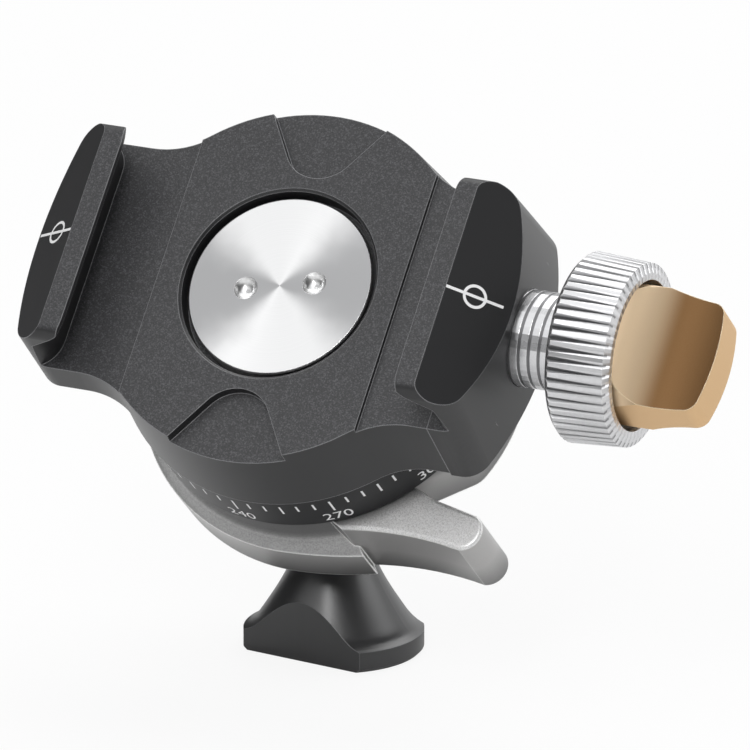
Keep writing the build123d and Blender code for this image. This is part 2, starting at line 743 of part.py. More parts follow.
with BuildPart() as pan_lock_paddle:
    with BuildSketch(Plane.XY.offset(knob_level - paddle_radius)) as blade_outline:
        with BuildLine():
            Line((paddle_base, -paddle_radius), (paddle_tip_offset, -paddle_tip_half_width))
            ThreePointArc(
                (paddle_tip_offset, -paddle_tip_half_width),
                (paddle_end, 0),
                (paddle_tip_offset, paddle_tip_half_width),
            )
            Line((paddle_tip_offset, paddle_tip_half_width), (paddle_base, paddle_radius))
            Line((paddle_base, paddle_radius), (paddle_base, -paddle_radius))
        make_face()
        fillet(blade_outline.vertices().group_by(Axis.X)[-1], paddle_corner)
    extrude(amount=2 * paddle_radius)
    with BuildSketch(knob_plane(paddle_base)):
        Circle(paddle_radius)
    extrude(amount=paddle_end - paddle_base, mode=Mode.INTERSECT)
    scoop_rise = blade_half_thickness + scoop_radius
    with BuildSketch(Plane.XZ):
        with Locations((scoop_middle, knob_level + scoop_rise)):
            Circle(scoop_radius)
        with Locations((scoop_middle, knob_level - scoop_rise)):
            Circle(scoop_radius)
    extrude(amount=paddle_radius, both=True, mode=Mode.SUBTRACT)
    with BuildSketch(knob_plane(paddle_base)):
        Circle(spindle_radius)
    extrude(amount=spindle_end - paddle_base, mode=Mode.SUBTRACT)
    with BuildSketch(Plane.XZ):
        with Locations((paddle_pin_offset, knob_level)):
            Circle(paddle_pin_radius)
    extrude(amount=paddle_radius, both=True, mode=Mode.SUBTRACT)
write_head_piece(pan_lock_paddle, "pan_lock_paddle")

with BuildPart() as paddle_pin:
    with BuildSketch(Plane.XZ):
        with Locations((paddle_pin_offset, knob_level)):
            Circle(paddle_pin_radius)
    extrude(amount=paddle_pin_half_length, both=True)
write_head_piece(paddle_pin, "paddle_pin")
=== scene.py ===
import bmesh
import bpy
import json
import math
from mathutils import Matrix, Vector


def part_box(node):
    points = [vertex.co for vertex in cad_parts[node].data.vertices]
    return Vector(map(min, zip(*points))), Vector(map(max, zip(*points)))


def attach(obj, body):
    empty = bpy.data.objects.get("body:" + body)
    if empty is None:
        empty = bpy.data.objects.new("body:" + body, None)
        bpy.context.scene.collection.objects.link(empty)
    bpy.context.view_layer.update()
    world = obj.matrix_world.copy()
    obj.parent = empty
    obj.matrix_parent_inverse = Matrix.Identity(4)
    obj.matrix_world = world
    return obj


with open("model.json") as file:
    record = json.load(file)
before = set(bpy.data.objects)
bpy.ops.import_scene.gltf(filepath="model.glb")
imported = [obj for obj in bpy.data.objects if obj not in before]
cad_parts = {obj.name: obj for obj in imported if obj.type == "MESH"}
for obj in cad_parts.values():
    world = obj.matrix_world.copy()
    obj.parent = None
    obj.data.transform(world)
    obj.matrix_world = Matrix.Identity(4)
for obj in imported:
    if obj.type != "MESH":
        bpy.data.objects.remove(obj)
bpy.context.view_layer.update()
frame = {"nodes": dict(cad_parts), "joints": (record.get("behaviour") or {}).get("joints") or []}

MM = 0.001  # lengths are in millimetres where they meet MM, and in metres elsewhere

# --- The head frame, worked out from the part's own joints ---------------------------------
# Origin at the ball's centre, X from the fixed jaw to the clamp knob, Z out of the platform.
joints = {joint["name"]: joint for joint in frame["joints"]}
ball_centre = Vector(joints["head_spin"]["pos_m"])
knob_point = Vector(joints["clamp_knob"]["pos_m"])
head_x = Vector(joints["jaw_slide"]["axis"]).normalized()
head_z = Vector(joints["pan_turn"]["axis"]).normalized()
head_y = head_z.cross(head_x)
HEAD = Matrix.Translation(ball_centre) @ Matrix(
    (
        (head_x.x, head_y.x, head_z.x, 0),
        (head_x.y, head_y.y, head_z.y, 0),
        (head_x.z, head_y.z, head_z.z, 0),
        (0, 0, 0, 1),
    )
)
TO_HEAD = HEAD.inverted()
knob_level = (TO_HEAD @ knob_point).z / MM


def head_size(node):
    """Lowest and highest corner of a node in the head frame, in millimetres."""
    corners = [TO_HEAD @ vertex.co / MM for vertex in frame["nodes"][node].data.vertices]
    low = Vector([min(corner[i] for corner in corners) for i in range(3)])
    high = Vector([max(corner[i] for corner in corners) for i in range(3)])
    return low, high


# === Camera ================================================================================
# Fitted to the photograph.
CAMERA_AZIMUTH = math.radians(23.68)  # from -Y towards +X
CAMERA_ELEVATION = math.radians(16.36)
CAMERA_DISTANCE = 0.7523
CAMERA_AIM = Vector((3.76, 1.16, 26.98)) * MM
CAMERA_LENS = 384.0
CAMERA_SENSOR = 36.0
CAMERA_CLIP = (0.05, 20.0)


def make_camera():
    """A camera where the photograph's was."""
    level = math.cos(CAMERA_ELEVATION)
    towards_camera = Vector(
        (
            math.sin(CAMERA_AZIMUTH) * level,
            -math.cos(CAMERA_AZIMUTH) * level,
            math.sin(CAMERA_ELEVATION),
        )
    )
    data = bpy.data.cameras.new("photo_camera")
    data.lens = CAMERA_LENS
    data.sensor_width = CAMERA_SENSOR
    data.clip_start, data.clip_end = CAMERA_CLIP
    camera = bpy.data.objects.new("photo_camera", data)
    camera.location = CAMERA_AIM + towards_camera * CAMERA_DISTANCE
    camera.rotation_euler = towards_camera.to_track_quat("Z", "Y").to_euler()
    bpy.context.scene.collection.objects.link(camera)
    bpy.context.scene.camera = camera


# === Studio: lamps, world and floor ========================================================
LAMP_AIM = Vector((0, 0, 0.03))

ROOM_COLOUR = (0.99, 0.995, 1, 1)
ROOM_LIGHT = 0.08
# Direction, light, and the angles from the direction where the light starts to fade and where it ends.
ROOM_FIELDS = (
    ((-0.14, -0.49, 0.86), 1.15, 22, 52),  # in front and above, near what the platform mirrors
    ((0.20, 0.95, 0.15), 0.9, 15, 45),  # behind
    ((0.86, 0.35, 0.36), 2.2, 10, 27),  # on the right
)

FLOOR_HALF = 4.0
FLOOR_GAP = 0.05 * MM  # below the foot
FLOOR_COLOUR = (0.8, 0.8, 0.8, 1)
FLOOR_GLOW = 0.88  # share of plain white in what the camera sees of the floor; the rest takes shadow


def area_lamp(name, direction, distance, size, power):
    """An oblong soft lamp that looks at the part from that direction."""
    data = bpy.data.lights.new(name, "AREA")
    data.shape = "RECTANGLE"
    data.size, data.size_y = size
    data.energy = power
    lamp = bpy.data.objects.new(name, data)
    away = Vector(direction).normalized()
    lamp.location = LAMP_AIM + away * distance
    lamp.rotation_euler = away.to_track_quat("Z", "Y").to_euler()
    bpy.context.scene.collection.objects.link(lamp)


def make_world():
    """White for the camera; a dark room with soft bright fields for everything else."""
    world = bpy.data.worlds.new("studio")
    world.use_nodes = True
    nodes, links = world.node_tree.nodes, world.node_tree.links
    nodes.clear()
    coords = nodes.new("ShaderNodeTexCoord")

    def soft_field(direction, light, near, far):
        """Full light within the angle near of a direction, none past the angle far."""
        dot = nodes.new("ShaderNodeVectorMath")
        dot.operation = "DOT_PRODUCT"
        links.new(coords.outputs["Generated"], dot.inputs[0])
        dot.inputs[1].default_value = Vector(direction).normalized()
        fade = nodes.new("ShaderNodeMapRange")
        fade.interpolation_type = "SMOOTHSTEP"
        fade.inputs["From Min"].default_value = math.cos(math.radians(far))
        fade.inputs["From Max"].default_value = math.cos(math.radians(near))
        fade.inputs["To Min"].default_value = 0.0
        fade.inputs["To Max"].default_value = light
        links.new(dot.outputs["Value"], fade.inputs["Value"])
        return fade.outputs[0]

    room = nodes.new("ShaderNodeBackground")
    room.inputs["Color"].default_value = ROOM_COLOUR
    light = None
    for field in ROOM_FIELDS:
        add = nodes.new("ShaderNodeMath")
        add.operation = "ADD"
        links.new(soft_field(*field), add.inputs[0])
        if light is None:
            add.inputs[1].default_value = ROOM_LIGHT
        else:
            links.new(light, add.inputs[1])
        light = add.outputs[0]
    links.new(light, room.inputs["Strength"])

    backdrop = nodes.new("ShaderNodeBackground")
    backdrop.inputs["Color"].default_value = (1, 1, 1, 1)
    backdrop.inputs["Strength"].default_value = 1.0
    path = nodes.new("ShaderNodeLightPath")
    mix = nodes.new("ShaderNodeMixShader")
    output = nodes.new("ShaderNodeOutputWorld")
    links.new(path.outputs["Is Camera Ray"], mix.inputs["Fac"])
    links.new(room.outputs[0], mix.inputs[1])
    links.new(backdrop.outputs[0], mix.inputs[2])
    links.new(mix.outputs[0], output.inputs["Surface"])
    bpy.context.scene.world = world


def pale_floor():
    """A pale surface, nearly white to the camera, that keeps a soft shadow."""
    material = bpy.data.materials.new("pale_floor")
    material.use_nodes = True
    nodes, links = material.node_tree.nodes, material.node_tree.links
    nodes.clear()
    diffuse = nodes.new("ShaderNodeBsdfDiffuse")
    diffuse.inputs["Color"].default_value = FLOOR_COLOUR
    glow = nodes.new("ShaderNodeEmission")
    glow.inputs["Strength"].default_value = 1.0
    path = nodes.new("ShaderNodeLightPath")
    share = nodes.new("ShaderNodeMath")
    share.operation = "MULTIPLY"
    share.inputs[1].default_value = FLOOR_GLOW
    mix = nodes.new("ShaderNodeMixShader")
    output = nodes.new("ShaderNodeOutputMaterial")
    links.new(path.outputs["Is Camera Ray"], share.inputs[0])
    links.new(share.outputs[0], mix.inputs["Fac"])
    links.new(diffuse.outputs[0], mix.inputs[1])
    links.new(glow.outputs[0], mix.inputs[2])
    links.new(mix.outputs[0], output.inputs["Surface"])
    return material


def make_floor():
    """One large plane just under the foot."""
    mesh = bpy.data.meshes.new("floor")
    under_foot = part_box("mounting_foot")[0][2] - FLOOR_GAP
    corners = [(-1, -1), (1, -1), (1, 1), (-1, 1)]
    points = [(FLOOR_HALF * x, FLOOR_HALF * y, under_foot) for x, y in corners]
    mesh.from_pydata(points, [], [(0, 1, 2, 3)])
    mesh.materials.append(pale_floor())
    floor = bpy.data.objects.new("floor", mesh)
    bpy.context.scene.collection.objects.link(floor)


def make_studio():
    make_world()
    make_floor()
    area_lamp("key_softbox", (0.15, -0.78, 0.61), distance=0.3, size=(0.06, 0.13), power=0.25)
    area_lamp("floor_wash", (0.0, 0.55, 0.85), distance=1.2, size=(1.0, 1.0), power=8.5)
    bpy.context.scene.view_settings.view_transform = "Standard"


# === Materials: what the finishes share ====================================================
class Recipe:
    """One material's node tree, with short helpers."""

    def __init__(self, name):
        self.material = bpy.data.materials.new(name)
        self.material.use_nodes = True
        self.nodes = self.material.node_tree.nodes
        self.links = self.material.node_tree.links
        self.shader = self.nodes["Principled BSDF"]
        coords = self.nodes.new("ShaderNodeTexCoord")
        self.place = coords.outputs["Object"]
        self.own_normal = coords.outputs["Normal"]

    def node(self, kind, **values):
        node = self.nodes.new("ShaderNode" + kind)
        for key, value in values.items():
            setattr(node, key, value)
        return node

    def fill(self, socket, value):
        """Gives a socket an output, a colour, a vector or a number."""
        if isinstance(value, bpy.types.NodeSocket):
            self.links.new(value, socket)
        elif socket.type == "RGBA":
            socket.default_value = (*value, 1)
        else:
            socket.default_value = value

    def set(self, **values):
        """Fills the shader's own sockets."""
        for key, value in values.items():
            self.fill(self.shader.inputs[key.replace("_", " ")], value)

    def math(self, operation, *values, clamp=False):
        node = self.node("Math", operation=operation, use_clamp=clamp)
        for socket, value in zip(node.inputs, values):
            self.fill(socket, value)
        return node.outputs[0]

    def vector(self, operation, *values):
        node = self.node("VectorMath", operation=operation)
        for socket, value in zip(node.inputs, values):
            self.fill(socket, value)
        gives_number = operation in ("DOT_PRODUCT", "LENGTH")
        return node.outputs["Value" if gives_number else "Vector"]

    def spread(self, value, low, high, from_low=0.0, from_high=1.0, smooth=False):
        """Maps the range between from_low and from_high to the one between low and high."""
        node = self.node("MapRange", interpolation_type="SMOOTHSTEP" if smooth else "LINEAR")
        node.inputs["From Min"].default_value = from_low
        node.inputs["From Max"].default_value = from_high
        node.inputs["To Min"].default_value = low
        node.inputs["To Max"].default_value = high
        self.fill(node.inputs["Value"], value)
        return node.outputs[0]

    def blend(self, share, first, second):
        """Mixes two colours by share, a number or an output."""
        node = self.node("Mix", data_type="RGBA")
        sockets = (node.inputs["Factor"], node.inputs[6], node.inputs[7])
        for socket, value in zip(sockets, (share, first, second)):
            self.fill(socket, value)
        return node.outputs[2]

    def noise(self, grain_mm, detail=2.0, roughness=0.5, place=None):
        """Noise whose lumps are about grain_mm across."""
        node = self.node("TexNoise")
        node.inputs["Scale"].default_value = 1 / (grain_mm * MM)
        node.inputs["Detail"].default_value = detail
        node.inputs["Roughness"].default_value = roughness
        self.fill(node.inputs["Vector"], place or self.place)
        return node.outputs["Fac"]

    def lathe_lines(self, distance, line_mm):
        """Noise that changes only with the distance from an axis."""
        place = self.node("CombineXYZ")
        self.fill(place.inputs[0], distance)
        return self.noise(line_mm, detail=3.0, roughness=0.6, place=place.outputs[0])

    def flakes(self, size_mm):
        """A random value for each tiny cell of the surface."""
        node = self.node("TexVoronoi")
        node.inputs["Scale"].default_value = 1 / (size_mm * MM)
        self.fill(node.inputs["Vector"], self.place)
        split = self.node("SeparateColor")
        self.fill(split.inputs[0], node.outputs["Color"])
        return split.outputs[0]

    def facing(self, direction, turned_away, turned_to):
        """1 where the surface faces a direction, 0 where it is turned away; cosines as limits."""
        cosine = self.vector("DOT_PRODUCT", self.own_normal, direction)
        return self.spread(cosine, 0.0, 1.0, turned_away, turned_to)

    def along(self, point, direction):
        """How far a place lies from a point along a direction."""
        offset = self.vector("SUBTRACT", self.place, point)
        return self.vector("DOT_PRODUCT", offset, direction)

    def about_axis(self, point, axis):
        """Distance from an axis, and the direction that runs round it, in world space."""
        cross = self.vector("CROSS_PRODUCT", axis, self.vector("SUBTRACT", self.place, point))
        to_world = self.node("VectorTransform", vector_type="VECTOR")
        to_world.convert_from = "OBJECT"
        to_world.convert_to = "WORLD"
        self.fill(to_world.inputs[0], cross)
        return self.vector("LENGTH", cross), to_world.outputs[0]

    def bump(self, height, depth_mm, normal=None):
        node = self.node("Bump")
        node.inputs["Strength"].default_value = 1.0
        node.inputs["Distance"].default_value = depth_mm * MM
        self.fill(node.inputs["Height"], height)
        if normal is not None:
            self.fill(node.inputs["Normal"], normal)
        return node.outputs[0]

    def soft_edges(self, radius_mm):
        """A normal that rounds the sharp edges, as blasting and anodising do."""
        node = self.node("Bevel", samples=6)
        node.inputs["Radius"].default_value = radius_mm * MM
        return node.outputs[0]

    def edge_share(self, rounded, sharpness=6.0):
        """1 on an edge, 0 away from it: where the painted edge highlight goes."""
        geometry = self.node("NewGeometry")
        flatness = self.vector("DOT_PRODUCT", rounded, geometry.outputs["Normal"])
        return self.math("MULTIPLY", self.math("SUBTRACT", 1.0, flatness), sharpness, clamp=True)


def tinted(colour, share, limit=1.0):
    """A colour made darker or lighter, with no channel past the limit."""
    return tuple(min(limit, channel * share) for channel in colour)


# === Materials: the finishes ===============================================================
NOISE_RANGE = (0.3, 0.7)  # where most of a noise's values lie
GLINT = 2.2  # how much brighter a flake's painted glint is than the lightest grain
WALL_ROUGHNESS = 0.36
SHADE_COLOUR = (0.13, 0.13, 0.13)


def blasted(name, colour, plain_colour, edge_colour, metal, roughness, top_limits, grain_mm=0.13,
            depth_mm=0.02, edge_mm=0.14, edge_sharpness=9.0, sparkle=1.5, shine=0.5, shading=None):
    """Anodised aluminium, grainy on top and smooth on its walls, with painted light: lighter tops, glints,
    edge highlights and any shading.
    """
    r = Recipe(name)
    grain = r.noise(grain_mm, detail=3.0, roughness=0.65)
    cloud = r.noise(6.0)
    flake = r.flakes(grain_mm * 0.9)
    top = r.facing(head_z, *top_limits)

    # the grain is real texture; its speckle is partly painted glint
    grainy = r.blend(r.spread(grain, 0, 1, 0.35, 0.65), tinted(colour, 0.7), tinted(colour, sparkle))
    # painted glints: the brightest flakes
    grainy = r.blend(r.spread(flake, 0, 0.8, 0.6, 1.0), grainy, tinted(colour, sparkle * GLINT, 0.9))
    plain = r.blend(r.spread(grain, 0, 1, *NOISE_RANGE), plain_colour, tinted(plain_colour, 1.06))
    # painted light: faces that look up take the lighter grainy colour, walls the darker plain one
    base = r.blend(top, plain, grainy)
    base = r.blend(r.spread(cloud, 0.0, 0.15), base, tinted(plain_colour, 1.3))
    if shading:
        base = r.blend(shading(r), base, SHADE_COLOUR)
    rounded = r.soft_edges(edge_mm)
    # painted highlight: a light line along the sharp edges
    base = r.blend(r.edge_share(rounded, edge_sharpness), base, edge_colour)

    rough = r.spread(flake, roughness + 0.08, roughness - 0.12)
    rough = r.math("MULTIPLY_ADD", top, r.math("SUBTRACT", rough, WALL_ROUGHNESS), WALL_ROUGHNESS)
    relief = r.bump(r.math("MULTIPLY", grain, top), depth_mm, normal=rounded)
    r.set(Base_Color=base, Metallic=metal, Roughness=rough, Normal=relief, Specular_IOR_Level=shine)
    return r.material


def turned(name, colour, metal, roughness, axis, anisotropy, edge_colour=None, edge_mm=0.1, shine=0.5):
    """Turned metal: fine lines round an axis, which is a point and a direction."""
    r = Recipe(name)
    distance, around = r.about_axis(*axis)
    lines = r.lathe_lines(distance, 0.09)
    base = r.blend(r.spread(lines, 0, 1, *NOISE_RANGE), tinted(colour, 0.88), tinted(colour, 1.08))
    rounded = r.soft_edges(edge_mm)
    # painted highlight along the edges, where a colour for it is given
    if edge_colour:
        base = r.blend(r.edge_share(rounded), base, edge_colour)
    rough = r.spread(lines, roughness - 0.05, roughness + 0.05)
    relief = r.bump(lines, 0.003, normal=rounded)
    r.set(Base_Color=base, Metallic=metal, Roughness=rough, Normal=relief, Specular_IOR_Level=shine)
    r.set(Anisotropic=anisotropy, Tangent=around)
    return r.material


def satin(name, light, dark, wall_colour, edge_colour, roughness, fade_mm):
    """The paddle's satin metal, in lit and shaded copies of one gold: painted shade darkens its hollow
    sides along the head's X between two places.
    """
    r = Recipe(name)
    start, end = fade_mm
    fade = r.spread(r.along(ball_centre, head_x), 0.0, 1.0, start * MM, end * MM, smooth=True)
    grain = r.noise(0.12)
    wall = r.math("MAXIMUM", r.facing(head_z, 0.2, 0.4), r.facing(-head_z, 0.2, 0.4))
    rounded = r.soft_edges(0.12)
    # painted light and shade: walls take one gold, hollow sides fade from the light gold to the dark one
    base = r.blend(wall, wall_colour, r.blend(fade, light, dark))
    base = r.blend(r.spread(grain, 0, 0.04), base, light)
    # painted highlight along the edges
    base = r.blend(r.edge_share(rounded, 8.0), base, edge_colour)
    rough = r.spread(grain, roughness - 0.04, roughness + 0.04)
    r.set(Base_Color=base, Metallic=1.0, Roughness=rough, Normal=r.bump(grain, 0.002, normal=rounded))
    return r.material


def faced(name, light, dark, roughness, axis, fan_axis):
    """Steel faced in circles, with painted sheen: bright fans where the circles run along fan_axis, greyer
    in between.
    """
    r = Recipe(name)
    distance, around = r.about_axis(*axis)
    lines = r.lathe_lines(distance, 0.1)
    cloud = r.noise(3.5)
    run = r.vector("DOT_PRODUCT", r.vector("NORMALIZE", around), fan_axis)
    fan = r.math("ADD", r.math("MULTIPLY", run, run), r.spread(cloud, -0.07, 0.07, *NOISE_RANGE))
    # painted sheen: bright fans and grey sectors between them
    base = r.blend(r.spread(fan, 0.0, 1.0, 0.08, 0.85, smooth=True), dark, light)
    base = r.blend(r.spread(lines, 0, 0.12, *NOISE_RANGE), base, dark)
    base = r.blend(r.facing(axis[1], 0.97, 0.999), light, base)  # painted highlight: slopes that turn off the axis, such as the dimples', are painted bright
    rough = r.spread(lines, roughness - 0.04, roughness + 0.04)
    relief = r.bump(lines, 0.003, normal=r.soft_edges(0.08))
    r.set(Base_Color=base, Metallic=1.0, Roughness=rough, Normal=relief)
    r.set(Anisotropic=0.6, Tangent=around)
    return r.material


WHEEL_RIDGES = 56
WHEEL_SIDE_RADIUS = 8.05 * MM  # inside this the wheel's faces are plain


def ridged(name, colour, groove_colour, roughness):
    """The clamp knob's bright metal: straight grooves round its side, with painted shade in their depth."""
    r = Recipe(name)
    angle = r.math("ARCTAN2", r.along(knob_point, head_z), r.along(knob_point, head_y))
    ripple = r.math("PINGPONG", r.math("MULTIPLY", angle, WHEEL_RIDGES / (2 * math.pi)), 0.5)
    side = r.math("GREATER_THAN", r.about_axis(knob_point, head_x)[0], WHEEL_SIDE_RADIUS)
    groove = r.math("MULTIPLY", side, r.spread(ripple, 1.0, 0.0, 0.04, 0.2))
    grain = r.noise(0.35, detail=3.0)
    rounded = r.soft_edges(0.06)
    base = r.blend(r.spread(grain, 0, 0.25, *NOISE_RANGE), colour, tinted(colour, 0.75))
    # painted highlight along the edges
    base = r.blend(r.edge_share(rounded), base, (0.95, 0.95, 0.95))
    # painted shade in the depth of the grooves
    base = r.blend(r.math("MULTIPLY", groove, 0.9), base, groove_colour)
    rough = r.spread(grain, roughness - 0.05, roughness + 0.08)
    relief = r.bump(r.spread(ripple, 0.0, 1.0, 0.0, 0.3), 0.10, normal=rounded)
    r.set(Base_Color=base, Metallic=1.0, Roughness=rough, Normal=relief)
    return r.material


def plastic(name, colour, roughness):
    """Moulded or turned engineering plastic: smooth, with a faint mottle."""
    r = Recipe(name)
    mottle = r.noise(1.2, detail=3.0)
    r.set(Base_Color=r.blend(mottle, tinted(colour, 0.93), colour))
    r.set(Roughness=r.spread(mottle, roughness - 0.04, roughness + 0.04))
    r.set(Normal=r.bump(r.noise(0.3), 0.004, normal=r.soft_edges(0.1)))
    return r.material


def ink(name, colour):
    """Paint for the printed marks."""
    r = Recipe(name)
    speck = r.noise(0.1)
    base = r.blend(speck, tinted(colour, 0.9), colour)
    r.set(Base_Color=base, Roughness=0.6, Normal=r.bump(speck, 0.004))
    return r.material


LEVER_TOP_SHADE = 0.6
LEVER_SCALE_SHADE = 0.95
LEVER_LOW_SHADE = 0.8


def lever_shading(r):
    """How much darker the lever is: on the ring's top, beside the scale and towards its lower edge."""
    low, high = head_size("lever_ring")
    rim_radius = -low.x
    distance = r.about_axis(ball_centre, head_z)[0]
    level = r.along(ball_centre, head_z)
    top = r.facing(head_z, 0.3, 0.6)

    def fading(value, share, full_mm, none_mm):
        """A share that is full at one distance and has faded away at another."""
        return r.spread(value, share, 0.0, full_mm * MM, none_mm * MM)

    on_ring = r.math("MULTIPLY", top, fading(level, LEVER_TOP_SHADE, high.z - 0.6, high.z - 0.2))
    by_scale = fading(distance, LEVER_SCALE_SHADE, rim_radius - 1.3, rim_radius + 0.3)
    upper = r.math("MAXIMUM", top, fading(level, 1.0, high.z - 2.7, high.z - 4.2))
    lower = fading(level, LEVER_LOW_SHADE, low.z, low.z + 4.0)
    return r.math("MAXIMUM", r.math("MAXIMUM", on_ring, r.math("MULTIPLY", upper, by_scale)), lower)


# === Materials: one for each slot ==========================================================
DISC_SHEEN_TURN = 105.0  # degrees about the head axis, where the disc's fans of painted sheen lie
PADDLE_FADE = (35.3, 39.0)  # mm along the head's X, where the paddle's painted shade starts and where it is full

NODE_MATERIALS = {
    "mounting_foot": "foot_anodised",
    "foot_thread_insert": "steel",
    "ball_stem": "polished_ball",
    "stem_screw": "steel",
    "lower_seat_ring": "acetal",
    "upper_friction_cup": "acetal",
    "ball_housing": "body_anodised",
    "degree_ring": "scale_anodised",
    "lever_stop_pin": "steel",
    "pan_thrust_washer": "ptfe",
    "pan_spring_washer": "steel",
    "pan_cap": "turned_steel",
    "lever_ring": "titanium_anodised",
    "clamp_body": "body_anodised",
    "jaw_guide_pins": "steel",
    "screw_retaining_pins": "steel",
    "movable_jaw": "body_anodised",
    # painted shade: the clamp screw's core is painted dark
    "clamp_screw": "groove_aluminium",
    "knurled_wheel": "ridged_aluminium",
    "wheel_set_screw": "steel",
    "pan_lock_spindle": "steel",
    "brake_pad": "nylon",
    "pan_lock_paddle": "gold_anodised",
    "paddle_pin": "steel",
}


materials = {}


def add_material(recipe, name, **values):
    materials[name] = recipe(name, **values)


def make_anodised():
    """The blasted parts, the lever ring and the paddle."""
    # painted light: each blasted finish has a lighter colour for its top and a darker plain_colour for its
    # walls
    add_material(blasted, "body_anodised", colour=(0.030, 0.030, 0.032),
                 plain_colour=(0.015, 0.015, 0.016), edge_colour=(0.30, 0.30, 0.31), metal=0.0,
                 roughness=0.45, top_limits=(0.85, 0.95))
    add_material(blasted, "scale_anodised", colour=(0.014, 0.014, 0.015),
                 plain_colour=(0.012, 0.012, 0.013), edge_colour=(0.14, 0.14, 0.145), metal=0.0,
                 roughness=0.4, top_limits=(0.85, 0.95), grain_mm=0.1, depth_mm=0.004, shine=0.22)
    # painted light: the lever's top is painted much lighter than its walls
    add_material(blasted, "titanium_anodised", colour=(0.80, 0.795, 0.79),
                 plain_colour=(0.42, 0.415, 0.41), edge_colour=(0.98, 0.98, 0.97), metal=0.75,
                 roughness=0.45, top_limits=(0.05, 0.35), edge_mm=0.25, edge_sharpness=20.0,
                 sparkle=1.15, shading=lever_shading)
    add_material(satin, "gold_anodised", light=(0.88, 0.69, 0.47), dark=(0.17, 0.09, 0.036),
                 wall_colour=(0.72, 0.50, 0.28), edge_colour=(0.95, 0.82, 0.60), roughness=0.55,
                 fade_mm=PADDLE_FADE)


def make_turned():
    """The parts that show a lathe's lines, and the ridged wheel."""
    foot_axis = ((0, 0, 0), (0, 0, 1))
    head_axis = (ball_centre, head_z)
    knob_axis = (knob_point, head_x)
    add_material(turned, "foot_anodised", colour=(0.016, 0.016, 0.017), metal=0.0, roughness=0.3,
                 axis=foot_axis, anisotropy=0.5, edge_colour=(0.2, 0.2, 0.205), shine=0.85)
    add_material(turned, "polished_ball", colour=(0.78, 0.78, 0.79), metal=1.0, roughness=0.22,
                 axis=foot_axis, anisotropy=0.3)
    add_material(turned, "silver_aluminium", colour=(0.66, 0.66, 0.67), metal=1.0, roughness=0.22,
                 axis=knob_axis, anisotropy=0.3, edge_colour=(0.93, 0.93, 0.93), edge_mm=0.06)
    # painted shade: the clamp screw's core is painted dark, so the gaps between the thread's crests look
    # shaded
    add_material(turned, "groove_aluminium", colour=(0.2, 0.2, 0.205), metal=1.0, roughness=0.35,
                 axis=knob_axis, anisotropy=0.3)
    add_material(turned, "steel", colour=(0.55, 0.55, 0.56), metal=1.0, roughness=0.32,
                 axis=head_axis, anisotropy=0.2)
    add_material(ridged, "ridged_aluminium", colour=(0.70, 0.70, 0.71),
                 groove_colour=(0.22, 0.22, 0.225), roughness=0.32)
    # The circles run at a right angle to their radius, so the fans of painted sheen have their own turn 90
    # degrees on.
    fan_turn = math.radians(DISC_SHEEN_TURN + 90)
    fan_axis = head_x * math.cos(fan_turn) + head_y * math.sin(fan_turn)
    add_material(faced, "turned_steel", light=(0.80, 0.80, 0.80), dark=(0.37, 0.37, 0.375),
                 roughness=0.3, axis=head_axis, fan_axis=fan_axis)


def make_plastics():
    add_material(plastic, "acetal", colour=(0.82, 0.81, 0.76), roughness=0.4)
    add_material(plastic, "ptfe", colour=(0.88, 0.88, 0.86), roughness=0.5)
    add_material(plastic, "nylon", colour=(0.86, 0.83, 0.74), roughness=0.5)


def dress_nodes():
    for name, node in frame["nodes"].items():
        node.data.materials.clear()
        node.data.materials.append(materials[NODE_MATERIALS[name]])


# === Small pieces that the solids leave to the scene =======================================
def new_piece(name, mesh, material, body):
    mesh.materials.append(material)
    piece = bpy.data.objects.new(name, mesh)
    bpy.context.scene.collection.objects.link(piece)
    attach(piece, body)


def head_mesh(name, points, faces):
    """A mesh from head-frame points in millimetres."""
    mesh = bpy.data.meshes.new(name)
    mesh.from_pydata([HEAD @ (Vector(point) * MM) for point in points], [], faces)
    mesh.update()
    return mesh


INK_PROUD = 0.012  # mm that printed marks stand off their surface

# --- The degree scale ----------------------------------------------------------------------
TICK_WIDTH = 0.2
TICK_STEP = 5
TICK_LENGTHS = {30: 1.9, 15: 1.5, TICK_STEP: 1.1}  # by the multiples of degrees that they mark
TICK_TOP = 0.75  # below the ring's upper face
NUMBER_STEP = 30
DIGIT_HEIGHT = 1.3
DIGIT_HEIGHT_SHARE = 0.7  # of the font's size
DIGIT_STRETCH = 1.06
DIGIT_BASE = 0.65  # above the ring's lower face
SCALE_TURN = -66.3 - 270.0  # degrees about the head axis, which put the number 270 at -66.3


def ring_point(radius, degrees, level):
    angle = math.radians(degrees)
    return (radius * math.cos(angle), radius * math.sin(angle), level)


def make_ticks(radius, top, material):
    """A tick each 5 degrees, longer at 15 and 30."""
    half_turn = math.degrees(TICK_WIDTH / 2 / radius)
    points, faces = [], []
    for value in range(0, 360, TICK_STEP):
        length = next(length for step, length in TICK_LENGTHS.items() if value % step == 0)
        place = value + SCALE_TURN
        first = len(points)
        for turn, level in ((-1, top), (-1, top - length), (1, top - length), (1, top)):
            points.append(ring_point(radius, place + turn * half_turn, level))
        faces.append((first, first + 1, first + 2, first + 3))
    new_piece("scale_ticks", head_mesh("scale_ticks", points, faces), material, "housing")


